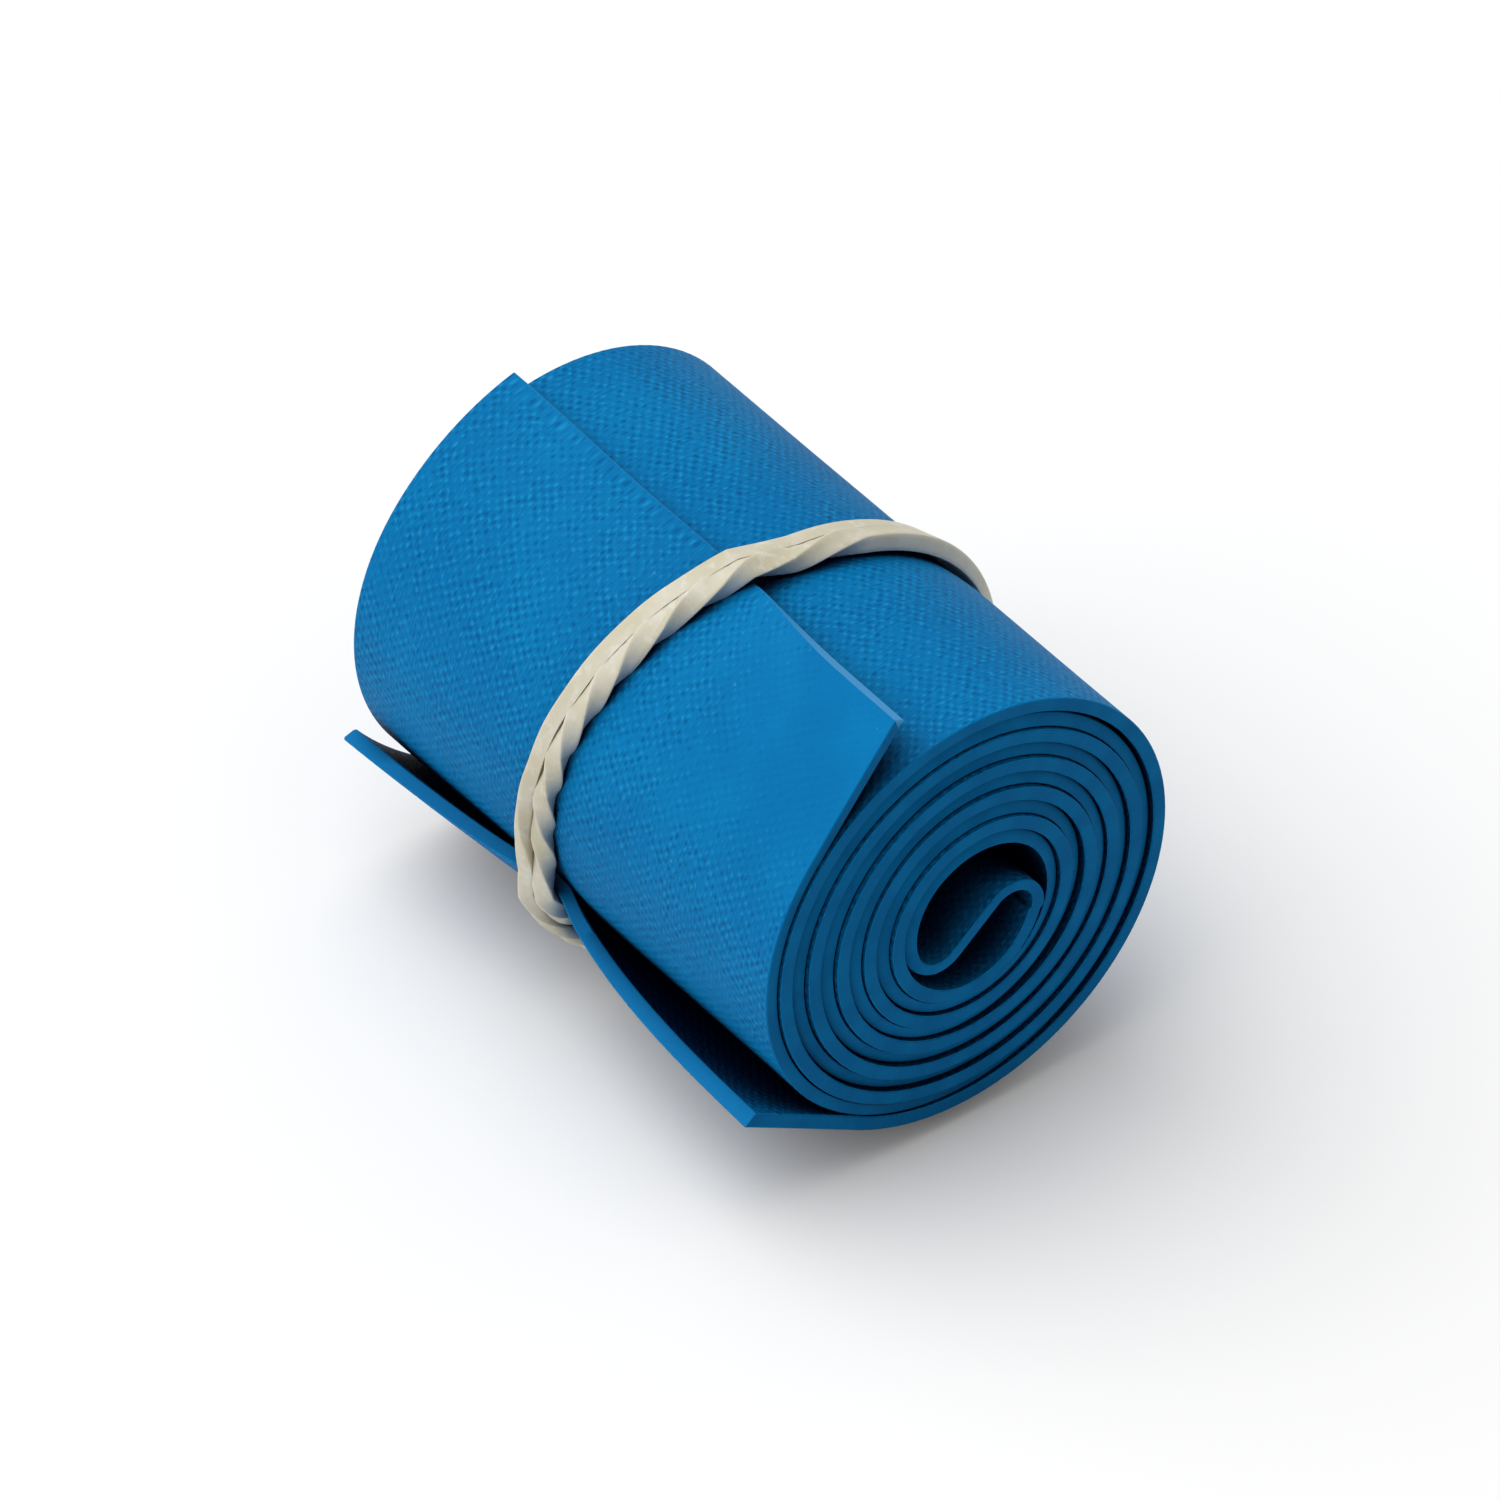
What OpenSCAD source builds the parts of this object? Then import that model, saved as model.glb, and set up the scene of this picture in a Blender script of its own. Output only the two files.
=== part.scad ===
// Elastic strap rolled up from its middle and held by one rubber band.
// The roll lies on its side with its axis along Y. The front end is at -Y and +Z is up.
// Angles are seen from the front, anticlockwise from +X. Seen so, the strap winds
// inwards anticlockwise. Both halves of the strap wind round an S-shaped core.

/* [Strap] */
// Width of the strap, which is the length of the roll
strap_w = 25; // [22:0.5:28]
// Thickness of the strap
strap_t = 0.55; // [0.48:0.01:0.56]

/* [Roll] */
// Outer radius of the roll at the edge of the lower free end
roll_r = 9.65; // [9.5:0.05:10.5]
// Radial distance from one layer to the next
layer_pitch = 0.585; // [0.58:0.005:0.6]
// Whole turns of each half before its core bend starts
whole_turns = 5; // [4:1:5]
// Radius of the bends of the S-shaped core, at mid thickness
core_bend_r = 1.2; // [1:0.05:1.25]

/* [Free ends] */
// Angle of the upper free edge where the band holds it down
upper_edge_a = 100; // [95:1:110]
// Angle of the lower free edge where the band holds it down
lower_edge_a = 203; // [195:1:210]
// Lift of the upper free end, front and back, as a share of standing straight out
upper_lift = [1.1, 0.15]; // [0:0.05:1.2]
// Lift of the lower free end, front and back, as a share of standing straight out
lower_lift = [1.1, 0.48]; // [0:0.05:1.2]

/* [Rubber band] */
// Width across both strands of the band
band_w = 1.45; // [1.2:0.05:1.8]
// Thickness of the band, measured away from the roll
band_t = 0.9; // [0.7:0.05:1.2]
// Distance of the band's middle from the middle of the strap's width
band_y = -0.6; // [-2:0.1:2]
// How far the band leans forwards at one side and back at the other
band_lean = 1.85; // [0:0.05:3]
// Half twists of the two strands in one lap, an odd number
half_twists = 13; // [7:2:19]
// Free space between the band and the roll
band_clear = 0.1; // [0.08:0.01:0.2]

/* [Hidden] */

facet_a = 7.5;                          // every layer is faceted at the same angles
pair_pitch = 2 * layer_pitch;           // radial step of one half in one full turn
upper_root_a = 142.5;                   // where the upper free end leaves the roll
lower_root_a = 240;                     // where the lower free end leaves the roll
core_a = [187.5, -19];                  // where each half bends into the core
core_pull = 0.3;                        // the lower half is drawn in before its bend
core_pull_a = 90;                       // over this angle
core_steps = 14;                        // facets of each core bend
end_steps = 8;                          // facets along a free end
end_rows = 14;                          // rows across a free end
lean_a = 29;                            // angle at which the band is furthest forward
far_shift = 1;                          // the band lies further back than that at the far side
far_a = 12;                             // angle of the far side's middle
far_half_a = 90;                        // half of the stretch that lies further back
pinch_w = 1;                            // half width of the stretch the band holds flat
lift_reach = 5;                         // how soon a free end lifts beside the band
strand_gap = 0.05;                      // from each strand to the middle of the pair
strand_round = 0.22;                    // how far a strand's outer corners are cut
band_step_a = 5;                        // angle between the rings of the band
loose_a = 100;                          // where the strands lie side by side, hardly twisted
loose_half_a = 150;                     // half of the stretch that is twisted less

upper_end_a = core_a[0] + 360 * whole_turns;
lower_end_a = core_a[1] + 360 * (whole_turns + 1);

function dir(a) = [cos(a), sin(a)];
function smooth(t) = let (u = min(1, max(0, t))) u * u * (3 - 2 * u);
function mix(a, b, t) = a + (b - a) * t;

// Radius of the outer face of each half. The angle goes on growing with each turn.
function lower_r(a) = roll_r - pair_pitch * (a - lower_edge_a) / 360
    - core_pull * smooth((a - lower_end_a + core_pull_a) / core_pull_a);
function upper_r(a) = roll_r - pair_pitch * (a + 180 - lower_edge_a) / 360;

// Angles from the first to the last, in whole facets and then the odd rest
function facets(first, last) =
    concat([for (a = [first : facet_a : last - 0.5]) a], [last]);
function reversed(list) = [for (i = [len(list) - 1 : -1 : 0]) list[i]];

// The S-shaped core: two bends and the straight line that touches both
upper_bend = (upper_r(upper_end_a) - strap_t / 2 - core_bend_r) * dir(core_a[0]);
lower_bend = (lower_r(lower_end_a) - strap_t / 2 - core_bend_r) * dir(core_a[1]);
bend_gap = lower_bend - upper_bend;
cross_a = atan2(bend_gap.y, bend_gap.x) + asin(2 * core_bend_r / norm(bend_gap));

function arc(centre, r, a0, a1) =
    [for (i = [0 : core_steps]) centre + r * dir(mix(a0, a1, i / core_steps))];
function upper_arc(r) = arc(upper_bend, r, core_a[0], cross_a + 270);
function lower_arc(r) = arc(lower_bend, r, cross_a + 90, core_a[1]);

// Points of the outer face of each half between two angles, or of the face that
// lies a depth below it
function upper_face(first, last, depth = 0) =
    [for (a = facets(first, last)) (upper_r(a) - depth) * dir(a)];
function lower_face(first, last, depth = 0) =
    [for (a = facets(first, last)) (lower_r(a) - depth) * dir(a)];

// The wound layers press against each other, so the winding is filled from the
// outermost layer to the hole
roll_outline = concat(
    lower_face(lower_root_a, upper_root_a + 360),
    upper_face(upper_root_a, lower_root_a));

// The S-shaped core leaves two spaces. The upper one runs on between the layers,
// where the lower half is drawn in.
upper_space_a = lower_end_a - core_pull_a;
upper_space = concat(
    upper_face(upper_space_a - 360, upper_end_a, strap_t),
    upper_arc(core_bend_r - strap_t / 2),
    lower_arc(core_bend_r + strap_t / 2),
    reversed(lower_face(upper_space_a, lower_end_a - facet_a / 2)));
lower_space = concat(
    lower_face(upper_end_a, lower_end_a - facet_a / 2, strap_t),
    reversed(lower_arc(core_bend_r - strap_t / 2)),
    reversed(upper_arc(core_bend_r + strap_t / 2)));

// Outside of the wound strap at the band, with both free ends held down
function hugged_r(a) =
    let (b = (a - lower_edge_a + 720) % 360)
    b < 360 + upper_edge_a - lower_edge_a
        ? lower_r(lower_edge_a + b)
        : upper_r(lower_edge_a + b - 360);

// The band leaves the lower layer before each free edge and bridges the step
function bridged_r(a, edge_a) =
    let (high = hugged_r(edge_a + 0.01), low = hugged_r(edge_a - 0.01),
         lead_a = acos(low / high), d = edge_a - a)
    d >= 0 && d <= lead_a ? low / cos(lead_a - d) : 0;

function band_r(a) = max(hugged_r(a), bridged_r(a, upper_edge_a),
    bridged_r(a, lower_edge_a)) + band_clear;
// How close an angle is to the far side's middle: 1 there, 0 from far_half_a on
function far_share(a) =
    let (d = (a - far_a + 540) % 360 - 180)
    abs(d) < far_half_a ? (1 + cos(180 * d / far_half_a)) / 2 : 0;

function band_place(a) = band_y - band_lean * cos(a - lean_a) + far_shift * far_share(a);

// How far a free end stands off at a place y across the strap
function lift_at(y, lift, held_y) =
    let (beyond = max(0, abs(y - held_y) - pinch_w))
    (y < held_y ? lift[0] : lift[1]) * (1 - exp(-beyond / lift_reach));

// A point of a free end: s runs from 0 at the root to 1 at the edge, and h is
// the height above the inner face
function end_point(upper, s, h, share) =
    let (root_a = upper ? upper_root_a : lower_root_a,
         edge_a = upper ? upper_edge_a : lower_edge_a,
         a = mix(root_a, edge_a, s),
         root_r = (upper ? upper_r(root_a) : lower_r(root_a)) - strap_t + h,
         hug_r = (upper ? upper_r(a) : lower_r(a)) - strap_t + h,
         reach = root_r * (root_a - edge_a) * PI / 180 * s,
         straight = root_r * dir(root_a) + reach * dir(root_a - 90))
    mix(hug_r * dir(a), straight, share);

function end_rows_y(held_y) = concat(
    [for (i = [0 : end_rows / 2]) mix(-strap_w / 2, held_y - pinch_w, 2 * i / end_rows)],
    [for (i = [0 : end_rows / 2]) mix(held_y + pinch_w, strap_w / 2, 2 * i / end_rows)]);

// All the points of a free end, row by row: out along the inner face and back
// along the outer face
function end_points(upper, lift) =
    let (held_y = band_place(upper ? upper_edge_a : lower_edge_a), rows = end_rows_y(held_y))
    [for (y = rows) let (share = lift_at(y, lift, held_y))
        for (i = [0 : 2 * end_steps + 1])
            let (out = i <= end_steps, s = (out ? i : 2 * end_steps + 1 - i) / end_steps,
                 p = end_point(upper, s, out ? 0 : strap_t, share)) [p.x, y, p.y]];

// Triangles of a tube with n points in each of the rings; closed joins its ends
function tube_faces(rings, n, closed) = concat(
    [for (j = [0 : rings - (closed ? 1 : 2)]) for (i = [0 : n - 1])
        let (k = (i + 1) % n, a = j * n, b = ((j + 1) % rings) * n)
        each [[a + i, a + k, b + k], [a + i, b + k, b + i]]],
    closed ? [] : [reversed([for (i = [0 : n - 1]) i]),
        [for (i = [0 : n - 1]) (rings - 1) * n + i]]);

// The end caps of a free end are strips of four-sided faces, as they are bent
function cap_faces(row, flip) =
    let (a = row * (2 * end_steps + 2), last = a + 2 * end_steps + 1)
    [for (i = [0 : end_steps - 1]) let (f = [a + i, a + i + 1, last - i - 1, last - i])
        flip ? reversed(f) : f];

module free_end(points) {
    n = 2 * end_steps + 2;
    rows = len(points) / n;
    sides = [for (f = tube_faces(rows, n, false)) if (len(f) == 3) f];
    polyhedron(points, concat(sides, cap_faces(0, true), cap_faces(rows - 1, false)),
        convexity = 6);
}

// One closed loop that goes twice round the roll. Its two laps twist round each
// other, so each lap fills one half of an oval section.
function strand_ring(a) =
    let (turn = twist(a), r = band_r(a % 360) + band_t / 2, y = band_place(a))
    [for (p = strand_outline)
        let (across = p.x * cos(turn) - p.y * sin(turn), out = p.x * sin(turn) + p.y * cos(turn),
             far = r + out * band_t / 2)
        [far * cos(a), y + across * band_w / 2, far * sin(a)]];

// A strand's outline, for a pair that just fits a circle of radius 1
strand_half = 1 / norm([1 - strand_round, 1]);
strand_outline = strand_half * [[strand_gap, -1], [1 - strand_round, -1], [1, strand_round - 1],
    [1, 0], [1, 1 - strand_round], [1 - strand_round, 1], [strand_gap, 1]];

// The twist grows evenly round a lap, apart from the loose stretch, and it is
// counted from the middle of that stretch
function twist(a) =
    let (d = a - loose_a, lap = floor((d + 180) / 360), rest = d - 360 * lap,
         u = min(1, max(-1, rest / loose_half_a)),
         lost = loose_half_a * (u + sin(180 * u) / PI) / 2)
    180 * half_twists * (lap + (rest - lost) / (360 - loose_half_a));

band_points = [for (a = [0 : band_step_a : 720 - band_step_a]) each strand_ring(a)];
upper_points = end_points(true, upper_lift);
lower_points = end_points(false, lower_lift);

// The origin is under the middle of everything, on the surface it stands on
all_x = [for (p = concat(band_points, upper_points, lower_points)) p.x];
all_z = [for (p = concat(band_points, upper_points, lower_points)) p.z];
origin_shift = [-(min(all_x) + max(all_x)) / 2, 0, -min(all_z)];

module strap_roll() {
    color([0.03, 0.44, 0.68]) translate(origin_shift) rotate([90, 0, 0])
        linear_extrude(strap_w, center = true, convexity = 8) difference() {
            polygon(roll_outline);
            polygon(upper_space);
            polygon(lower_space);
        }
}

module upper_free_end() {
    color([0.05, 0.47, 0.71]) translate(origin_shift) free_end(upper_points);
}

module lower_free_end() {
    color([0.04, 0.42, 0.64]) translate(origin_shift) free_end(lower_points);
}

module rubber_band() {
    color([0.86, 0.84, 0.76]) translate(origin_shift)
        polyhedron(band_points, tube_faces(720 / band_step_a, len(strand_outline), true),
            convexity = 12);
}

strap_roll();
upper_free_end();
lower_free_end();
rubber_band();
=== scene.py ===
"""Looks of a rolled elastic strap that one twisted rubber band holds together.

Lengths are in metres and angles in degrees. Angles are seen from the front end at -Y,
anticlockwise from +X, and go on growing with each turn of the strap towards the middle.
"""

import math

import bpy
from mathutils import Matrix, Vector, noise


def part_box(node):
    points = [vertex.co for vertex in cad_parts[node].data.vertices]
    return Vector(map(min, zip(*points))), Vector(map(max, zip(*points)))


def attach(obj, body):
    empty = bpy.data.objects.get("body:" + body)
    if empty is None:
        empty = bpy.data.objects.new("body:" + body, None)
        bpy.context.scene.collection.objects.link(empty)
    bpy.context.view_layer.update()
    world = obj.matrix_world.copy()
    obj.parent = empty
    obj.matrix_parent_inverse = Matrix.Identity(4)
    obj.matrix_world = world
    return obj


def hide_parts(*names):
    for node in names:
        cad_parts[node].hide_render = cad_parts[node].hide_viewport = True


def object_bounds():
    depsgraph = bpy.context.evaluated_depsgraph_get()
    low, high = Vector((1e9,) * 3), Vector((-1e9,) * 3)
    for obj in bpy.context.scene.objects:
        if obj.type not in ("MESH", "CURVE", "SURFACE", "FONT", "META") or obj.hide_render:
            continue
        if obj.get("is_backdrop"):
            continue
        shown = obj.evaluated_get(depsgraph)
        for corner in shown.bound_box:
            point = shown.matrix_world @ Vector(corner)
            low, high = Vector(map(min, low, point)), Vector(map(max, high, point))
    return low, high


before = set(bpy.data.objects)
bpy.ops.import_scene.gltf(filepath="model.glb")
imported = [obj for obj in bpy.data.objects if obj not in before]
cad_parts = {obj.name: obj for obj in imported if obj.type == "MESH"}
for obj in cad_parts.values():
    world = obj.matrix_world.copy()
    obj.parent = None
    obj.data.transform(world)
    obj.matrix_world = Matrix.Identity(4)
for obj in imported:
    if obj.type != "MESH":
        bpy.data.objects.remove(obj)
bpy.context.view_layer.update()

MM = 0.001

# ---------------------------------------------------------------- driving dimensions
STRAP_T = 0.55 * MM                     # thickness of the strap
ROLL_R = 9.65 * MM                      # outer radius at the edge of the lower free end
PAIR_PITCH = 1.17 * MM                  # radial step of one half in one full turn
HOLE_R = 2.9 * MM                       # radius of the hole in the middle
UPPER_ROOT, LOWER_ROOT = 142.5, 240.0   # where the free ends leave the roll
UPPER_EDGE, LOWER_EDGE = 100.0, 203.0   # where the free ends finish
UPPER_LIFT = (1.1, 0.15)                # lift of the upper free end, front and back
LOWER_LIFT = (1.1, 0.48)                # lift of the lower free end, front and back
PINCH = 1.0 * MM                        # half width of what the band holds flat
LIFT_REACH = 5.0 * MM                   # how soon a free end lifts beside the band
CORE_ENTRY, CORE_EXIT = 187.5, -19.0    # where each half bends into the S-shaped core
WHOLE_TURNS = 5
CORE_BEND_R = 1.2 * MM
CORE_T = 0.44 * MM                      # the strap is stretched thin in the core
CORE_THIN_BY = 0.4                      # share of a bend in which it grows thin
CORE_PULL = 0.3 * MM                    # the lower half is drawn in before its bend
CORE_PULL_A = 90.0                      # over this angle

TELESCOPE = 0.8 * MM                    # how far the core stands out at the front
EDGE_BEVEL = (0.3 * MM, 0.1 * MM)       # upper half's cut edge, outer and inner corner
FREE_BEVEL = (0.0, 0.1 * MM)            # the same on both free ends
BACK_BEVEL = 0.4                        # bevel at the back, as a share of the front's
BEVEL_TURN = 180.0                      # the bevel grows over this angle from a free end
CORE_BEVEL = 1.6                        # how fast it fades along the core's bends
EDGE_WOBBLE = 0.05 * MM                 # waves of the cut edge: their height, their length
EDGE_WAVE, EDGE_CALM = 9 * MM, 0.25     # and the outer share of the layers with less
FACE_WOBBLE = 0.012 * MM                # waves of the faces: their height, their length
FACE_WAVE, FACE_WAVE_A = 6 * MM, 70.0   # across the strap and their angle round the roll
CORNER = 0.045 * MM                     # how far every corner of the strap is cut off

UPPER_SKEW, LOWER_SKEW = 1.2, 2.5       # angle by which the free edges are out of square
UPPER_SKEW_Y = (3 * MM, 12 * MM)        # it grows between these places
LOWER_SKEW_Y = (0.0, 12 * MM)
SLANT_LENGTH = 0.33 * MM                # slanting cut of the upper free edge
SLANT_DEPTH = 0.30 * MM
SLANT_REACH = 6.5 * MM                  # it grows over this length in front of the band

STRAND = 0.72 * MM                      # side of one square strand of the band
BAND_Y = -0.6 * MM                      # middle of the band's leaning loop
BAND_LEAN, LEAN_A = 1.85 * MM, 29.0     # how far it leans, and where it leans forward
FAR_SHIFT = 1.0 * MM                    # the loop is moved back round FAR_SHIFT_A, where
FAR_SHIFT_A, FAR_SHIFT_REACH = 12.0, 90.0           # it goes over the upper right horizon
WAIST = 0.16 * MM                       # how deep the band presses into the strap
WAIST_W = 1.2 * MM                      # how far that reaches beside the band

UPPER_END = CORE_ENTRY + 360 * WHOLE_TURNS
LOWER_END = CORE_EXIT + 360 * (WHOLE_TURNS + 1)


# ---------------------------------------------------------------- small helpers
def direction(angle):
    """Unit vector in the plane of the roll's end, as (x, z)."""
    return Vector((math.cos(math.radians(angle)), math.sin(math.radians(angle))))


def mix(a, b, share):
    return a + (b - a) * share


def smooth(value):
    t = min(1.0, max(0.0, value))
    return t * t * (3 - 2 * t)


def bump(angle, middle, reach, flat=0.0):
    """1 round the middle angle, falling smoothly to 0 at the reach on both sides."""
    away = abs((angle - middle + 180) % 360 - 180)
    return smooth((reach - away) / (reach - flat))


WAVE_GAIN = 1.6                         # brings the noise up to about -1 to 1
WAVE_PLANE = 0.5                        # keeps off the planes where the noise is 0
EDGE_SEED, FACE_SEED, SWAY_SEED = 1.0, 3.0, 8.0


def wave(place, seed):
    """Smooth noise between about -1 and 1 along a length."""
    return WAVE_GAIN * noise.noise(Vector((place, seed, WAVE_PLANE)))


# ---------------------------------------------------------------- the roll's own shape
def lower_radius(angle):
    pulled = CORE_PULL * smooth((angle - LOWER_END + CORE_PULL_A) / CORE_PULL_A)
    return ROLL_R - PAIR_PITCH * (angle - LOWER_EDGE) / 360 - pulled


def upper_radius(angle):
    return ROLL_R - PAIR_PITCH * (angle + 180 - LOWER_EDGE) / 360


roll_low, roll_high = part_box("strap_roll")
AXIS = Vector((roll_low.x + upper_radius(180), 0, roll_low.z + lower_radius(270)))
STRAP_W = roll_high.y - roll_low.y


def band_place(angle):
    back = FAR_SHIFT * bump(angle, FAR_SHIFT_A, FAR_SHIFT_REACH)
    return BAND_Y - BAND_LEAN * math.cos(math.radians(angle - LEAN_A)) + back


def waist(angle, y, radius):
    """How far the band presses a layer in; the layers share it down to the hole."""
    away = (y - band_place(angle)) / WAIST_W
    share = (radius - HOLE_R) / (ROLL_R - HOLE_R)
    return WAIST * max(0.0, share) * math.exp(-away * away)


OUTER_GAP, INNER_GAP = 0.13 * MM, 0.11 * MM         # two open crescents between layers
OUTER_GAP_A, INNER_GAP_A = 46.0, 318.0              # where they are widest
OUTER_GAP_REACH, INNER_GAP_REACH = 60.0, 80.0
OUTER_GAP_TURN, INNER_GAP_TURN = 505.0, 1485.0      # layers wound beyond this move in
GAP_SPREAD = 900.0                      # angle over which the outer crescent closes up


def slack(angle, turned):
    """How far a layer has moved in. turned is its winding angle as on the lower half."""
    inwards = 0.0
    if turned > OUTER_GAP_TURN:
        closing = max(0.0, 1 - (turned - OUTER_GAP_TURN) / GAP_SPREAD)
        inwards += OUTER_GAP * closing * bump(angle, OUTER_GAP_A, OUTER_GAP_REACH)
    if turned > INNER_GAP_TURN:
        inwards += INNER_GAP * bump(angle, INNER_GAP_A, INNER_GAP_REACH)
    return inwards


def free_edge(upper, y):
    """Angle of a free edge. Both are cut slightly out of square."""
    edge, skew = (UPPER_EDGE, UPPER_SKEW) if upper else (LOWER_EDGE, LOWER_SKEW)
    start, end = UPPER_SKEW_Y if upper else LOWER_SKEW_Y
    return edge - skew * smooth((y - start) / (end - start))


def lift(upper, y):
    """How far a free end stands off: 0 for held down to 1 for straight."""
    held = band_place(UPPER_EDGE if upper else LOWER_EDGE)
    front, back = UPPER_LIFT if upper else LOWER_LIFT
    beyond = max(0.0, abs(y - held) - PINCH)
    return (front if y < held else back) * (1 - math.exp(-beyond / LIFT_REACH))


def wound_point(upper, angle, y, height):
    """Point of a wound layer. height is measured from the face nearer the middle."""
    radius = upper_radius(angle) if upper else lower_radius(angle)
    turned = angle + 180 if upper else angle
    inwards = waist(angle, y, radius) + slack(angle, turned)
    uneven = FACE_WOBBLE * wave(y / FACE_WAVE + turned / FACE_WAVE_A, FACE_SEED + upper)
    return direction(angle) * (radius - STRAP_T + height - inwards + uneven)


def slant(y):
    """How much of the upper free edge is cut at a slant, from 0 at the band to 1."""
    return smooth((band_place(UPPER_EDGE) - PINCH - y) / SLANT_REACH)


def free_point(upper, share, y, height):
    """Point of a free end. share runs from 0 at its root to 1 at its edge."""
    root = UPPER_ROOT if upper else LOWER_ROOT
    edge = free_edge(upper, y)
    held = wound_point(upper, mix(root, edge, share), y, height)
    start = wound_point(upper, root, y, height)
    reach = start.length * math.radians(root - edge) * share
    straight = start + direction(root - 90) * reach
    return mix(held, straight, lift(upper, y))


def bend_centre(angle, radius):
    """Centre of the core bend in which a half of the given outer radius ends."""
    return direction(angle) * (radius - STRAP_T / 2 - CORE_BEND_R)


UPPER_BEND = bend_centre(CORE_ENTRY, upper_radius(UPPER_END))
LOWER_BEND = bend_centre(CORE_EXIT, lower_radius(LOWER_END))
BEND_GAP = LOWER_BEND - UPPER_BEND
CROSS_A = math.degrees(math.atan2(BEND_GAP.y, BEND_GAP.x)
                       + math.asin(2 * CORE_BEND_R / BEND_GAP.length))


def core_point(upper, share, level):
    """Point of a core bend. share runs from 0 at the winding to 1 at the other bend."""
    centre = UPPER_BEND if upper else LOWER_BEND
    first = CORE_ENTRY if upper else CORE_EXIT
    last = CROSS_A + (270 if upper else 90)
    thick = mix(STRAP_T, CORE_T, smooth(share / CORE_THIN_BY))
    radius = CORE_BEND_R + (level if upper else -level) * thick / 2
    return centre + direction(mix(first, last, share)) * radius


# ---------------------------------------------------------------- the strap's mesh
FREE_STEPS = 22                         # stations along a free end
OUTER_STEP, INNER_STEP = 3.0, 5.0       # angle between stations, first turn and inside
CORE_STEPS = 20                         # stations along a core bend
NEAR_STEP, FAR_STEP = 0.3 * MM, 0.95 * MM           # row spacing by the band and beyond
NEAR_LEANS, NEAR_FADE = 1.5, 3 * MM     # close for so many leans, then wider over this
SHARP_ANGLE = 32.0                      # steeper corners are shaded sharp
FREE_LENGTH = ROLL_R * math.radians(UPPER_ROOT - UPPER_EDGE)
CORNER_SHARE = CORNER / FREE_LENGTH     # the corner as a share of a free end
NEXT_SHARE = 1 - 1.6 * CORNER_SHARE     # a second station right behind the corner's
HIGHLIGHT_SHARE = 1 - 1.3 * CORNER_SHARE     # the cut ends between the two take a painted highlight
UPPER_EDGE_HIGHLIGHT, LOWER_EDGE_HIGHLIGHT = 0.25, 0.05       # least painted highlight on the free edges' cuts


class Station:
    """One cross-section of the strap. level runs from -1 to 1 through its thickness and
    is 1 on the face that lies outside on the upper half."""

    def __init__(self, upper, free=None, angle=None, core=None, thin=1.0, back=None):
        self.upper = upper
        self.free, self.angle, self.core = free, angle, core    # only one of them is set
        self.thin = thin                # share of the thickness
        self.back = back                # 0 in front or 1 behind, where a free edge is cut


    def radius(self):
        """Radius that tells how deep in the roll the section is."""
        if self.core is not None:
            return HOLE_R
        angle = self.angle
        if self.free is not None:
            angle = UPPER_ROOT if self.upper else LOWER_ROOT
        return upper_radius(angle) if self.upper else lower_radius(angle)

    def point(self, y, level):
        level *= self.thin
        if self.core is not None:
            return core_point(self.upper, self.core, level)
        height = STRAP_T * (1 + (level if self.upper else -level)) / 2
        if self.free is not None:
            share = self.free
            if self.upper and self.back is not None:
                share -= self.back * slant(y) * SLANT_LENGTH / FREE_LENGTH
                height -= (1 - self.back) * slant(y) * SLANT_DEPTH * (level > 0)
            return free_point(self.upper, share, y, height)
        return wound_point(self.upper, self.angle, y, height)

    def cut_end_highlight(self, y, level):
        """How much painted highlight a point takes, as part of the cut of a free edge."""
        if self.back is None or (self.back and level < 0) or self.free < HIGHLIGHT_SHARE:
            return 0.0
        return mix(UPPER_EDGE_HIGHLIGHT, 1.0, slant(y)) if self.upper else LOWER_EDGE_HIGHLIGHT


def winding_angles(first, last):
    """Station angles of a wound half, closer together in its outermost turn."""
    angles = [first]
    while angles[-1] < last:
        step = OUTER_STEP if angles[-1] < first + 360 else INNER_STEP
        angles.append(min(last, angles[-1] + step))
    return angles


def half_stations(upper):
    """Stations of one half, from its free edge to the middle of the core."""
    stations = [Station(upper, free=1.0, thin=1 - 2 * CORNER / STRAP_T, back=0),
                Station(upper, free=1 - CORNER_SHARE, back=1),
                Station(upper, free=NEXT_SHARE, back=1)]
    stations += [Station(upper, free=1 - k / FREE_STEPS) for k in range(2, FREE_STEPS)]
    root, end = (UPPER_ROOT, UPPER_END) if upper else (LOWER_ROOT, LOWER_END)
    stations += [Station(upper, angle=a) for a in winding_angles(root, end)]
    steps = CORE_STEPS + upper          # the upper half has the station where both meet
    return stations + [Station(upper, core=k / CORE_STEPS) for k in range(1, steps)]


def row_places():
    """Places of the mesh rows across the strap's width."""
    rows = [-STRAP_W / 2]
    while rows[-1] < STRAP_W / 2:
        away = abs(rows[-1] - BAND_Y) - NEAR_LEANS * BAND_LEAN
        rows.append(rows[-1] + mix(NEAR_STEP, FAR_STEP, smooth(away / NEAR_FADE)))
    spare = rows[-1] - STRAP_W / 2
    return [y - spare * (k / (len(rows) - 1)) for k, y in enumerate(rows)]


def edge_recess(station, level, front):
    """How far a corner of the cut edge lies behind the end of its layer."""
    if station.free is not None:
        wound = 0.0
    elif station.core is not None:
        wound = 1 - smooth(station.core * CORE_BEVEL)
    else:
        wound = smooth((station.angle - UPPER_ROOT) / BEVEL_TURN)
    bevel = EDGE_BEVEL if station.upper else (0, 0)
    outwards = (1 + (level if station.upper else -level)) / 2
    depth = mix(bevel[1], bevel[0], outwards) * wound
    if station.core is None:
        depth += mix(FREE_BEVEL[1], FREE_BEVEL[0], outwards) * (1 - wound)
    return depth if front else depth * BACK_BEVEL


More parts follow.
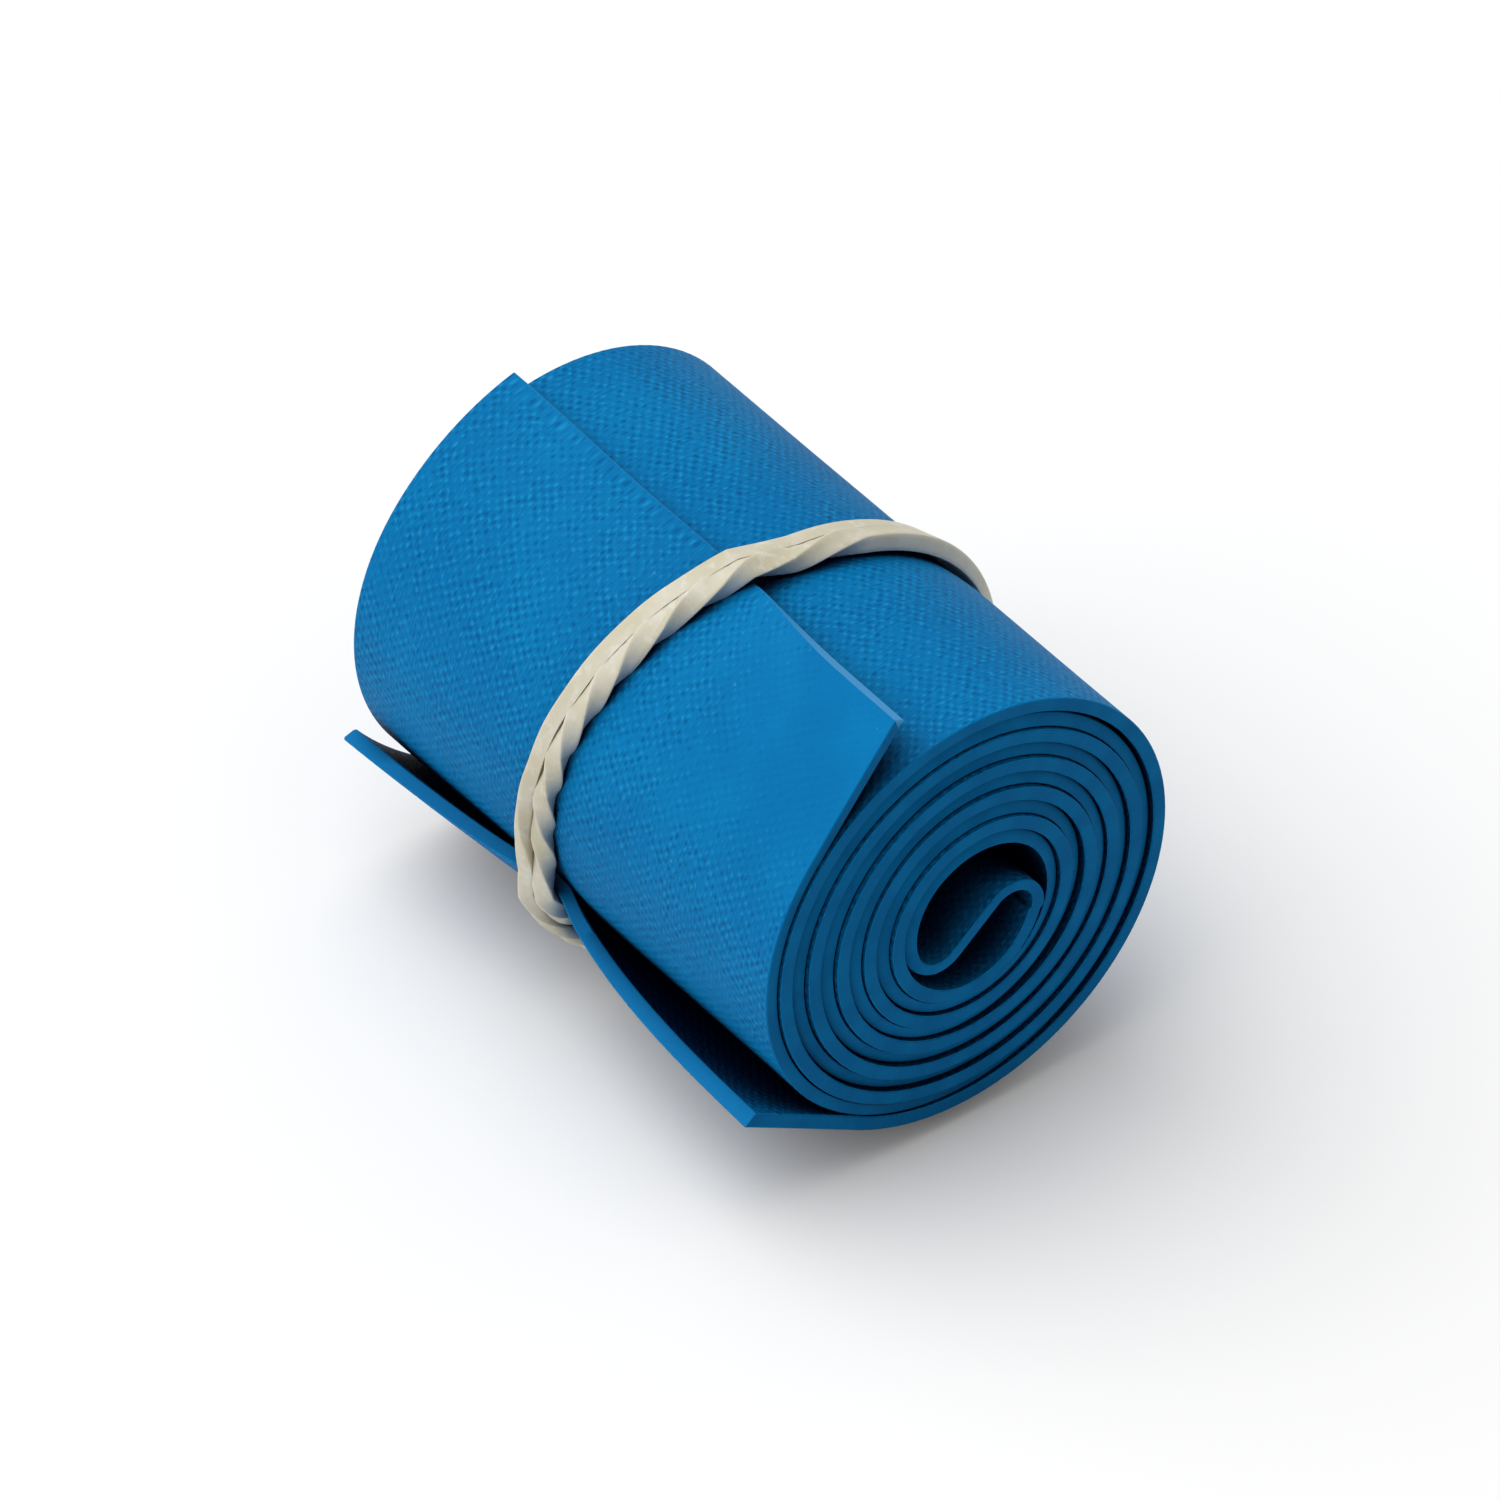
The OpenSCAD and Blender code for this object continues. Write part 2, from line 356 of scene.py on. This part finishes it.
def section(station, rows, along):
    """One closed ring of points round the strap, with its surface coordinates."""
    out = (ROLL_R - station.radius()) / (ROLL_R - HOLE_R)
    shift = -TELESCOPE * min(1.0, max(0.0, out))
    wavy = EDGE_WOBBLE * wave(along / EDGE_WAVE, EDGE_SEED + station.upper)
    shift += wavy * smooth(out / EDGE_CALM)
    cut_level = 1 - 2 * CORNER / STRAP_T

    def at(row, level, inset, cut):
        edge = 0.0
        if row == 0:
            edge = edge_recess(station, level, True) + inset
        if row == len(rows) - 1:
            edge = -edge_recess(station, level, False) - inset
        y = rows[row] + shift + edge
        flat = station.point(rows[row], level)
        place = AXIS + Vector((flat.x, y, flat.y))
        return place, along, rows[row] + edge, cut, station.cut_end_highlight(rows[row], level)

    last = len(rows) - 1
    ring = [at(k, 1, CORNER, 0) for k in range(len(rows))]
    ring += [at(last, cut_level, 0, 1), at(last, -cut_level, 0, 1)]
    ring += [at(k, -1, CORNER, 0) for k in reversed(range(len(rows)))]
    ring += [at(0, -cut_level, 0, 1), at(0, cut_level, 0, 1)]
    return ring


def ring_faces(rings, count):
    """Faces of a tube between rings of count points each."""
    return [(r * count + k, r * count + (k + 1) % count,
             (r + 1) * count + (k + 1) % count, (r + 1) * count + k)
            for r in range(rings - 1) for k in range(count)]


def cap_faces(first, rows, flip):
    """A strip of faces that closes one end of the strap."""
    count = 2 * rows + 4
    faces = []
    for k in range(rows - 1):
        far = 2 * rows + 1 - k
        faces.append((first + k, first + k + 1, first + far - 1, first + far))
    faces.append((first + rows - 1, first + rows, first + rows + 1, first + rows + 2))
    faces.append((first, first + count - 3, first + count - 2, first + count - 1))
    return [tuple(reversed(f)) for f in faces] if flip else faces


def make_mesh(name, places, faces, attributes):
    """An object with smooth faces, sharp corners and named numbers on its points."""
    mesh = bpy.data.meshes.new(name)
    mesh.from_pydata(places, [], faces)
    for label, values in attributes.items():
        mesh.attributes.new(label, "FLOAT", "POINT").data.foreach_set("value", values)
    mesh.polygons.foreach_set("use_smooth", [True] * len(mesh.polygons))
    mesh.set_sharp_from_angle(angle=math.radians(SHARP_ANGLE))
    mesh.update()
    piece = bpy.data.objects.new(name, mesh)
    bpy.context.scene.collection.objects.link(piece)
    return piece


def make_strap():
    """The whole strap as one sheet, with its length."""
    stations = half_stations(True) + list(reversed(half_stations(False)))
    rows = row_places()
    along, before, rings = 0.0, None, []
    for station in stations:
        here = station.point(rows[0], 0)
        if before is not None:
            along += (here - before).length
        before = here
        rings.append(section(station, rows, along))
    count = len(rings[0])
    faces = ring_faces(len(rings), count)
    faces += cap_faces(0, len(rows), True)
    faces += cap_faces((len(rings) - 1) * count, len(rows), False)
    points = [p for ring in rings for p in ring]
    strap = make_mesh("strap", [p[0] for p in points], faces, {
        "along": [p[1] for p in points],
        "across": [p[2] for p in points],
        "cut": [float(p[3]) for p in points],
        "cut_end_highlight": [p[4] for p in points]})
    return strap, along


# ---------------------------------------------------------------- the rubber band
BAND_STEP = 0.5                         # angle between rings
HALF_TWISTS = 13                        # of the pair in a lap; odd, so the laps join up
FLAT_A, FLAT_HALF, FLAT_REACH = 106.0, 96.0, 118.0  # the strands lie side by side here
FLAT = 0.985                            # share of the twist that is missing there
STACK_SQUASH = 0.2                      # how much thinner the strands are when stacked
FRONT_SPIN = (70.0, 250.0, 1080.0)      # each strand's own twist: from, to, whole angle
BACK_SPIN = (165.0, 275.0, 360.0)
SPIN_EASE = 0.25                        # 0 for an even twist, 1 for soft starts and ends
SNUG_A, SNUG_HALF, SNUG_REACH = 70.0, 58.0, 95.0    # the strands press each other flat
SNUG, SNUG_LEAST = 0.14 * MM, 0.08 * MM             # how much of each is pressed away
SWELL = 0.22                            # share by which the snug stretch is wider
BULGE_OUT = 0.6                         # share of a turned strand's bulge that lifts it
STAND, PRESSED = 0.33 * MM, 0.20 * MM   # middle of the pair above the strap's face
PRESSED_A, PRESSED_HALF, PRESSED_REACH = 145.0, 35.0, 75.0
FAR_A, FAR_REACH, FAR_SQUASH = 0.0, 60.0, 0.35      # it is stretched thin at the far side
KINK_A, KINK_REACH, KINK = 222.0, 28.0, 0.08 * MM   # it stands off below the free edge
SWAY, SWAY_WAVE_A = 0.05 * MM, 14.0     # small waves of the band, and their angle
SWAY_A, SWAY_REACH = 180.0, 170.0       # they fade out before the laps join
BESIDE_A = 0.01                         # just before or behind a free edge
STRAND_ROUND = 0.2                      # corner radius as a share of half a strand
TIGHT_ROUND = 0.8                       # how round the strands are in the tight twist
TOUCH = 0.004 * MM                      # from each strand to the face where they touch
CORNER_POINTS, SIDE_POINTS = 4, 4       # of the outline, at each corner and side


def hugged_radius(angle):
    """Outside of the strap at the band, with both free ends held down."""
    turned = (angle - LOWER_EDGE) % 360
    if turned < 360 + UPPER_EDGE - LOWER_EDGE:
        return lower_radius(LOWER_EDGE + turned)
    return upper_radius(LOWER_EDGE + turned - 360)


def bridged_radius(angle, edge):
    """The band leaves the lower layer before a free edge and bridges the step."""
    high, low = hugged_radius(edge + BESIDE_A), hugged_radius(edge - BESIDE_A)
    lead = math.degrees(math.acos(low / high))
    before = (edge - angle) % 360
    return low / math.cos(math.radians(lead - before)) if before <= lead else 0.0


def far_thinning(angle):
    """Thickness left where the band is stretched, as a share."""
    return 1 - FAR_SQUASH * bump(angle, FAR_A, FAR_REACH)


def band_radius(angle):
    """Radius of the middle of the pair of strands."""
    outside = max(hugged_radius(angle), bridged_radius(angle, UPPER_EDGE),
                  bridged_radius(angle, LOWER_EDGE))
    stand = mix(STAND, PRESSED, bump(angle, PRESSED_A, PRESSED_REACH, PRESSED_HALF))
    kink = KINK * bump(angle, KINK_A, KINK_REACH)
    return outside + stand * far_thinning(angle) + kink


def twist_table():
    """Twist of the pair at each whole degree of one lap."""
    rates = [1 - FLAT * bump(a, FLAT_A, FLAT_REACH, FLAT_HALF) for a in range(360)]
    total, table = sum(rates), [0.0]
    for rate in rates:
        table.append(table[-1] + 180 * HALF_TWISTS * rate / total)
    return table


TWIST = twist_table()


def pair_twist(angle):
    """Twist of the pair at an angle from 0 to 720."""
    lap, part = divmod(angle, 360)
    low = int(part)
    done = mix(TWIST[low], TWIST[low + 1], part - low) - TWIST[int(FLAT_A)]
    return 180 * HALF_TWISTS * lap + done


def strand_outline():
    """A square with round corners, anticlockwise from its lower right side."""
    half = STRAND / 2
    radius = STRAND_ROUND * half
    outline = []
    for k in range(4):
        corner = Vector((1, 1)) * (half - radius)
        arc = [corner + direction(90 * j / (CORNER_POINTS - 1)) * radius
               for j in range(CORNER_POINTS)]
        side = [Vector((half - radius, half)).lerp(Vector((radius - half, half)),
                                                   j / (SIDE_POINTS + 1))
                for j in range(1, SIDE_POINTS + 1)]
        turn = Matrix.Rotation(math.radians(90 * k), 2)
        outline += [turn @ p for p in arc + side]
    return outline


def own_twist(angle, first, last, total):
    """Twist of one strand about its own middle."""
    share = min(1.0, max(0.0, (angle - first) / (last - first)))
    return total * (share - SPIN_EASE * math.sin(2 * math.pi * share) / (2 * math.pi))


def strand_points(angle, outline):
    """Section of a strand at an angle from 0 to 720: (across, out) from the pair."""
    part = angle % 360
    spin = own_twist(part, *(FRONT_SPIN if angle >= 360 else BACK_SPIN))
    spun = direction(spin)
    snug = bump(part, SNUG_A, SNUG_REACH, SNUG_HALF)
    size = 1 + SWELL * snug
    tight = TIGHT_ROUND * (1 - bump(part, FLAT_A, FLAT_REACH, FLAT_HALF))
    cornered = (abs(spun.x) + abs(spun.y) - 1) * (1 - STRAND_ROUND)
    bulge = STRAND / 2 * cornered * (1 - tight)
    middle = STRAND / 2 * size - mix(SNUG_LEAST, SNUG, snug) + bulge * (1 - snug)
    twist = pair_twist(angle)
    squash = far_thinning(part) * (1 - STACK_SQUASH * direction(twist).y ** 2)
    spinning = Matrix.Rotation(math.radians(spin), 2)
    turning = Matrix.Rotation(math.radians(twist), 2)
    for p in outline:
        q = spinning @ p.lerp(p.normalized() * STRAND / 2, tight)
        q.x = max(TOUCH, q.x * size + middle)
        q = turning @ q
        yield q.x, (q.y + bulge * BULGE_OUT) * squash


def make_band():
    """The band as one closed strand that goes twice round the roll."""
    outline = strand_outline()
    steps = int(720 / BAND_STEP)
    places, along, round_it = [], [], []
    for k in range(steps):
        angle = k * BAND_STEP
        sway = SWAY * wave(angle % 360 / SWAY_WAVE_A, SWAY_SEED)
        y = band_place(angle) + sway * bump(angle, SWAY_A, SWAY_REACH)
        for j, (across, out) in enumerate(strand_points(angle, outline)):
            flat = direction(angle) * (band_radius(angle) + out)
            places.append(AXIS + Vector((flat.x, y + across, flat.y)))
            along.append(math.radians(angle) * ROLL_R)
            round_it.append(j / len(outline))
    count = len(outline)
    faces = ring_faces(steps, count)
    last = (steps - 1) * count
    for k in range(count):
        after = (k + 1) % count
        faces.append((last + k, last + after, after, k))
    return make_mesh("twisted_rubber_band", places, faces,
                     {"along": along, "round": round_it})


# ---------------------------------------------------------------- materials
class Nodes:
    """Short ways to add the nodes of one material."""

    def __init__(self, name):
        self.material = bpy.data.materials.new(name)
        self.material.use_nodes = True
        self.tree = self.material.node_tree
        self.shader = self.tree.nodes["Principled BSDF"]

    def add(self, kind, **settings):
        node = self.tree.nodes.new(kind)
        for key, value in settings.items():
            setattr(node, key, value)
        return node

    def link(self, value, socket):
        if isinstance(value, bpy.types.NodeSocket):
            self.tree.links.new(value, socket)
        elif value is not None:
            socket.default_value = value

    def math(self, operation, a, b=None, c=None):
        node = self.add("ShaderNodeMath", operation=operation)
        for value, socket in zip((a, b, c), node.inputs):
            self.link(value, socket)
        return node.outputs[0]

    def attribute(self, name):
        return self.add("ShaderNodeAttribute", attribute_name=name).outputs["Fac"]

    def combine(self, x, y, z=0.0):
        node = self.add("ShaderNodeCombineXYZ")
        for value, socket in zip((x, y, z), node.inputs):
            self.link(value, socket)
        return node.outputs[0]

    def noise(self, vector, size, detail=2.0, rough=0.5):
        """Noise from 0 to 1 with features of about the given size."""
        node = self.add("ShaderNodeTexNoise")
        self.link(vector, node.inputs["Vector"])
        node.inputs["Scale"].default_value = 1 / size
        node.inputs["Detail"].default_value = detail
        node.inputs["Roughness"].default_value = rough
        return node.outputs["Fac"]

    def ramp(self, value, low, high, to_low=0.0, to_high=1.0):
        """Softly from to_low to to_high while the value goes from low to high."""
        node = self.add("ShaderNodeMapRange", interpolation_type="SMOOTHSTEP")
        for item, socket in zip((value, low, high, to_low, to_high), node.inputs):
            self.link(item, socket)
        return node.outputs[0]

    def blend(self, share, a, b):
        node = self.add("ShaderNodeMix", data_type="RGBA")
        self.link(share, node.inputs["Factor"])
        self.link(a, node.inputs[6])
        self.link(b, node.inputs[7])
        return node.outputs[2]

    def crevice(self, reach, local=False):
        """Occlusion that paints shade: 1 on an open surface, towards 0 in a gap narrower
        than the reach.
        """
        node = self.add("ShaderNodeAmbientOcclusion", samples=4, only_local=local)
        node.inputs["Distance"].default_value = reach
        return node.outputs["AO"]

    def relief(self, height, depth, normal=None):
        """Bumps of the given depth, on top of an earlier relief's normal."""
        node = self.add("ShaderNodeBump")
        node.inputs["Strength"].default_value = 1.0
        node.inputs["Distance"].default_value = depth
        self.link(height, node.inputs["Height"])
        self.link(normal, node.inputs["Normal"])
        return node.outputs[0]


# A name that ends in _RAMP holds the range of the input and, unless that is 0 to 1, the
# range of the result.
WEAVE_ALONG, WEAVE_ACROSS = 0.22 * MM, 0.26 * MM    # half periods of the woven imprint
WEAVE_DEPTH = 0.03 * MM
WANDER_ALONG, WANDER_ACROSS = 0.30 * MM, 0.16 * MM  # how far its threads wander
BEND_ALONG, BEND_ACROSS = 0.9 * MM, 1.3 * MM        # and over what length
THREAD, THREAD_STRETCH, THREAD_GAIN = 0.14 * MM, 0.35, 2.4     # uneven single threads
DASH, DASH_PLANE = 0.5 * MM, 0.3 * MM   # the dashes are unevenly deep
DASH_RAMP = (0.35, 0.65, 0.35, 0.9)
PATCH = 3.5 * MM                        # the imprint is fainter in patches
PATCH_RAMP = (0.30, 0.62, 0.7, 1.0)
RUBBED_ALONG_RAMP = (4 * MM, 11 * MM, 0.3, 1.0)     # and by the upper free edge
RUBBED_ACROSS_RAMP = (-9 * MM, -2 * MM, 0.3, 1.0)   # near the front
RAISED_HIGHLIGHT_RAMP = (0.1, 0.9, 0.0, 0.7)      # share of the painted highlight on raised threads
SUNK_SHADE_RAMP = (-0.9, -0.1, 0.7, 0.0)      # share of the painted shade between them
CLOUD, CLOUD_RAMP = 6.0 * MM, (0.35, 0.70)
DUST, DUST_RAMP = 1.1 * MM, (0.03, 0.07, 1.0, 0.0)  # spacing and size of pale specks
DUST_RARE, DUST_SHARE = 0.9, 0.4        # share of them left out, and how pale they are
STREAK, STREAK_STRETCH, STREAK_RAMP = 0.35 * MM, 0.25, (0.3, 0.7)      # on the cut edge
GRAIN, GRAIN_DEPTH = 0.09 * MM, 0.006 * MM
GRAIN_ROUGH_RAMP = (0.2, 0.8, 0.50, 0.66)
CUT_ROUGHER = 0.12
BLUE = (0.0003, 0.140, 0.360, 1)
BLUE_WORN = (0.0006, 0.165, 0.400, 1)
# painted highlight on the imprint's raised threads, then painted shade between them
BLUE_THREAD_HIGHLIGHT = (0.0080, 0.240, 0.520, 1)
BLUE_THREAD_SHADE = (0.0002, 0.080, 0.240, 1)
# the cut faces: the rough cut's own colour, darkened further by painted shade of the end
# face
BLUE_CUT_AND_SHADE = (0.0002, 0.112, 0.280, 1)
BLUE_CUT_AND_SHADE_DEEP = (0.0002, 0.090, 0.240, 1)
# painted highlight on the cuts of the free edges
BLUE_EDGE_HIGHLIGHT = (0.0600, 0.260, 0.520, 1)
SPECK = (0.10, 0.30, 0.50, 1)
# painted shade colour for the hole, the gaps between layers and the undersides of the free
# ends
BLUE_GAP_SHADE = (0.0001, 0.003, 0.018, 1)
GAP_SHADE_REACH = 6.0 * MM                      # painted shade darkens gaps narrower than this
GAP_SHADE_RAMP = (0.24, 0.82)


def elastomer():
    """Blue sheet rubber with the imprint of a plain weave, with painted highlights and
    painted shade in its colour.
    """
    n = Nodes("blue elastomer")
    along, across, cut = n.attribute("along"), n.attribute("across"), n.attribute("cut")
    flat = n.combine(along, across)
    u = n.math("MULTIPLY_ADD", n.noise(flat, BEND_ALONG), WANDER_ALONG, along)
    v = n.math("MULTIPLY_ADD", n.noise(flat, BEND_ACROSS), WANDER_ACROSS, across)
    warp = n.math("COSINE", n.math("MULTIPLY", u, math.pi / WEAVE_ALONG))
    weft = n.math("COSINE", n.math("MULTIPLY", v, math.pi / WEAVE_ACROSS))
    checks = n.math("MULTIPLY", warp, weft)
    stretched = n.combine(n.math("MULTIPLY", u, THREAD_STRETCH), v)
    threads = n.noise(stretched, THREAD, detail=1.0)
    uneven = n.ramp(n.noise(n.combine(u, v, DASH_PLANE), DASH, detail=1.0), *DASH_RAMP)
    dashes = n.math("MULTIPLY_ADD", n.math("SUBTRACT", threads, 0.5), THREAD_GAIN,
                    n.math("MULTIPLY", checks, uneven))
    cut_end_highlight = n.attribute("cut_end_highlight")
    plain = n.math("MINIMUM", 1.0, n.math("MULTIPLY", cut_end_highlight, 1 / LOWER_EDGE_HIGHLIGHT))
    cloth = n.math("SUBTRACT", 1.0, n.math("MAXIMUM", cut, plain))
    patchy = n.ramp(n.noise(flat, PATCH, detail=3.0), *PATCH_RAMP)
    rubbed = n.math("MAXIMUM", n.ramp(along, *RUBBED_ALONG_RAMP),
                    n.ramp(across, *RUBBED_ACROSS_RAMP))
    shown = n.math("MULTIPLY", n.math("MULTIPLY", patchy, rubbed), cloth)
    imprint = n.math("MULTIPLY", dashes, shown)

    grain = n.noise(n.add("ShaderNodeTexCoord").outputs["Object"], GRAIN)
    cloudy = n.noise(flat, CLOUD, detail=4.0, rough=0.6)
    colour = n.blend(n.ramp(cloudy, *CLOUD_RAMP), BLUE, BLUE_WORN)
    # painted highlight on raised threads and painted shade between them
    colour = n.blend(n.ramp(imprint, *RAISED_HIGHLIGHT_RAMP), colour, BLUE_THREAD_HIGHLIGHT)
    colour = n.blend(n.ramp(imprint, *SUNK_SHADE_RAMP), colour, BLUE_THREAD_SHADE)

    dust = n.add("ShaderNodeTexVoronoi")
    n.link(flat, dust.inputs["Vector"])
    dust.inputs["Scale"].default_value = 1 / DUST
    small = n.ramp(dust.outputs["Distance"], *DUST_RAMP)
    chosen = n.add("ShaderNodeSeparateColor")
    n.link(dust.outputs["Color"], chosen.inputs[0])
    rare = n.math("GREATER_THAN", chosen.outputs[0], DUST_RARE)
    speck = n.math("MULTIPLY", n.math("MULTIPLY", small, rare), cloth)
    colour = n.blend(n.math("MULTIPLY", speck, DUST_SHARE), colour, SPECK)

    drawn_out = n.combine(n.math("MULTIPLY", along, STREAK_STRETCH), across)
    streak = n.noise(drawn_out, STREAK, detail=3.0)
    # cut faces partly painted shade, with streaks of the rough cut
    cut_and_shade_colour = n.blend(n.ramp(streak, *STREAK_RAMP), BLUE_CUT_AND_SHADE_DEEP, BLUE_CUT_AND_SHADE)
    # painted highlight on the cuts of the free edges, strongest on the upper one's
    # slanting cut
    colour = n.blend(cut_end_highlight, n.blend(cut, colour, cut_and_shade_colour), BLUE_EDGE_HIGHLIGHT)
    # painted shade: occlusion darkens the strap's colour in its hole, its gaps and under
    # its free ends
    unshaded_share = n.ramp(n.crevice(GAP_SHADE_REACH), *GAP_SHADE_RAMP)
    colour = n.blend(unshaded_share, BLUE_GAP_SHADE, colour)
    n.link(colour, n.shader.inputs["Base Color"])

    rough = n.ramp(grain, *GRAIN_ROUGH_RAMP)
    rough = n.math("ADD", rough, n.math("MULTIPLY", cut, CUT_ROUGHER))
    n.link(rough, n.shader.inputs["Roughness"])
    n.shader.inputs["Specular IOR Level"].default_value = 0.04
    fine = n.relief(grain, GRAIN_DEPTH)
    pressed = n.relief(imprint, WEAVE_DEPTH, fine)
    n.link(pressed, n.shader.inputs["Normal"])
    return n.material


CREAM = (0.58, 0.55, 0.45, 1)
CREAM_PALE = (0.66, 0.64, 0.57, 1)
CREAM_YELLOW = (0.52, 0.48, 0.35, 1)
# painted shade colour for the band's own grooves
CREAM_GROOVE_SHADE = (0.34, 0.31, 0.23, 1)
CREAM_SHADE = (0.20, 0.29, 0.37, 1)     # painted shade with the strap's painted blue reflection, next to the strap
CREAM_SHADE_REACH = 1.6 * MM
GROOVE_SHADE_RAMP = (0.2, 0.7)                # painted shade darkens the band's own crevices
BESIDE_RAMP = (0.05, 0.45)              # painted shade and painted blue reflection in crevices beside the strap
OFF_FLOOR_RAMP = (1.0 * MM, 3.0 * MM)   # but not where the floor makes them
CREAM_CLOUD, CREAM_CLOUD_RAMP = 2.4 * MM, (0.35, 0.65)
POWDER, POWDER_RAMP = 0.5 * MM, (0.48, 0.72, 0.0, 0.7)
POWDER_DEPTH, POWDER_ROUGH_RAMP = 0.008 * MM, (0.3, 0.7, 0.42, 0.6)
LINE, LINE_STRETCH, LINE_DEPTH = 0.11 * MM, 0.15, 0.01 * MM
LINE_ROUND = 4 * MM                     # girth that the lines are spread over


def cream_rubber():
    """Natural rubber: satin, a little uneven in colour, with faint lines along it and
    painted shade in its crevices.
    """
    n = Nodes("cream rubber")
    along, round_it = n.attribute("along"), n.attribute("round")
    where = n.add("ShaderNodeTexCoord").outputs["Object"]
    cloudy = n.noise(where, CREAM_CLOUD, detail=3.0)
    colour = n.blend(n.ramp(cloudy, *CREAM_CLOUD_RAMP), CREAM_YELLOW, CREAM)
    powder = n.noise(where, POWDER, detail=4.0, rough=0.65)
    colour = n.blend(n.ramp(powder, *POWDER_RAMP), colour, CREAM_PALE)
    lines = n.noise(n.combine(n.math("MULTIPLY", along, LINE_STRETCH),
                              n.math("MULTIPLY", round_it, LINE_ROUND)), LINE)
    # painted shade in the band's own grooves, from its own occlusion
    own = n.crevice(CREAM_SHADE_REACH, local=True)
    colour = n.blend(n.ramp(own, *GROOVE_SHADE_RAMP), CREAM_GROOVE_SHADE, colour)
    # painted shade and painted blue reflection where the strap occludes the band
    beside = n.math("SUBTRACT", own, n.crevice(CREAM_SHADE_REACH))
    height = n.add("ShaderNodeSeparateXYZ")
    n.link(where, height.inputs[0])
    off_floor = n.ramp(height.outputs["Z"], *OFF_FLOOR_RAMP)
    blue_shade_share = n.math("MULTIPLY", n.ramp(beside, *BESIDE_RAMP), off_floor)
    colour = n.blend(blue_shade_share, colour, CREAM_SHADE)
    n.link(colour, n.shader.inputs["Base Color"])
    n.link(n.ramp(powder, *POWDER_ROUGH_RAMP), n.shader.inputs["Roughness"])
    n.shader.inputs["Specular IOR Level"].default_value = 0.4
    n.shader.inputs["Subsurface Weight"].default_value = 0.25
    n.shader.inputs["Subsurface Scale"].default_value = 0.4 * MM
    n.shader.inputs["Subsurface Radius"].default_value = (1.0, 0.8, 0.5)
    fine = n.relief(powder, POWDER_DEPTH)
    n.link(n.relief(lines, LINE_DEPTH, fine), n.shader.inputs["Normal"])
    return n.material


FLOOR_PALE, FLOOR_PALER = (0.86, 0.86, 0.86, 1), (0.88, 0.88, 0.88, 1)
FLOOR_PATCH = 50 * MM


def floor_paper():
    """Matt paper, very slightly uneven."""
    n = Nodes("pale floor")
    where = n.add("ShaderNodeTexCoord").outputs["Object"]
    colour = n.blend(n.noise(where, FLOOR_PATCH), FLOOR_PALE, FLOOR_PALER)
    n.link(colour, n.shader.inputs["Base Color"])
    n.shader.inputs["Roughness"].default_value = 0.9
    n.shader.inputs["Specular IOR Level"].default_value = 0.1
    return n.material


# ---------------------------------------------------------------- camera, floor, light
VIEW_AZIMUTH, VIEW_ELEVATION = math.radians(-37.4), math.radians(41.0)
VIEW_DISTANCE = 0.8
LENS, SENSOR = 525.3, 36.0              # in millimetres, as Blender has them
AIM_LEFT, AIM_DOWN = 0.25 * MM, 0.81 * MM           # from the roll's middle to the aim
FLOOR_HALF = 2.0
KEY_TOWARDS = (-0.35, 0.35, 0.9)        # the soft light: where it stands from the roll,
KEY_DISTANCE, KEY_SIZE, KEY_POWER = 0.7, 1.0, 6.0   # how far, how large, how strong
ROOM_COLOUR, ROOM_LIGHT = (1, 1, 1, 1), 0.55


def make_camera():
    """The photograph's camera, which looks down at the front end from its left."""
    back = Vector((math.sin(VIEW_AZIMUTH) * math.cos(VIEW_ELEVATION),
                   -math.cos(VIEW_AZIMUTH) * math.cos(VIEW_ELEVATION),
                   math.sin(VIEW_ELEVATION)))
    right = Vector((math.cos(VIEW_AZIMUTH), math.sin(VIEW_AZIMUTH), 0))
    up = back.cross(right)
    lens = bpy.data.cameras.new("camera")
    lens.lens = LENS
    lens.sensor_width = SENSOR
    camera = bpy.data.objects.new("camera", lens)
    turned = Matrix((right, up, back)).transposed().to_4x4()
    aim = AXIS - right * AIM_LEFT - up * AIM_DOWN
    camera.matrix_world = Matrix.Translation(aim + back * VIEW_DISTANCE) @ turned
    bpy.context.scene.collection.objects.link(camera)
    bpy.context.scene.camera = camera


def add_light(name, towards, distance, size, power):
    """A square soft light that stands in the given direction and faces the roll."""
    lamp = bpy.data.lights.new(name, "AREA")
    lamp.size = size
    lamp.energy = power
    light = bpy.data.objects.new(name, lamp)
    place = AXIS + Vector(towards).normalized() * distance
    light.location = place
    light.rotation_euler = (AXIS - place).to_track_quat("-Z", "Y").to_euler()
    bpy.context.scene.collection.objects.link(light)


def make_studio(ground):
    """A pale floor at the given height, one soft light and an even white surround."""
    mesh = bpy.data.meshes.new("floor")
    corners = [(x * FLOOR_HALF, y * FLOOR_HALF, ground)
               for x, y in ((-1, -1), (1, -1), (1, 1), (-1, 1))]
    mesh.from_pydata(corners, [], [(0, 1, 2, 3)])
    mesh.materials.append(floor_paper())
    floor = bpy.data.objects.new("floor", mesh)
    bpy.context.scene.collection.objects.link(floor)
    floor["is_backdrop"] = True
    add_light("key", KEY_TOWARDS, KEY_DISTANCE, KEY_SIZE, KEY_POWER)
    world = bpy.data.worlds.new("soft room")
    world.use_nodes = True
    surround = world.node_tree.nodes["Background"]
    surround.inputs["Color"].default_value = ROOM_COLOUR
    surround.inputs["Strength"].default_value = ROOM_LIGHT
    bpy.context.scene.world = world
    bpy.context.scene.view_settings.view_transform = "Standard"


# ---------------------------------------------------------------- all together
make_camera()

strap, strap_length = make_strap()
strap.data.materials.append(elastomer())
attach(strap, "strap")
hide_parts("strap_roll", "upper_free_end", "lower_free_end")

band = make_band()
band.data.materials.append(cream_rubber())
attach(band, "band")
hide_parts("rubber_band")

make_studio(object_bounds()[0].z)
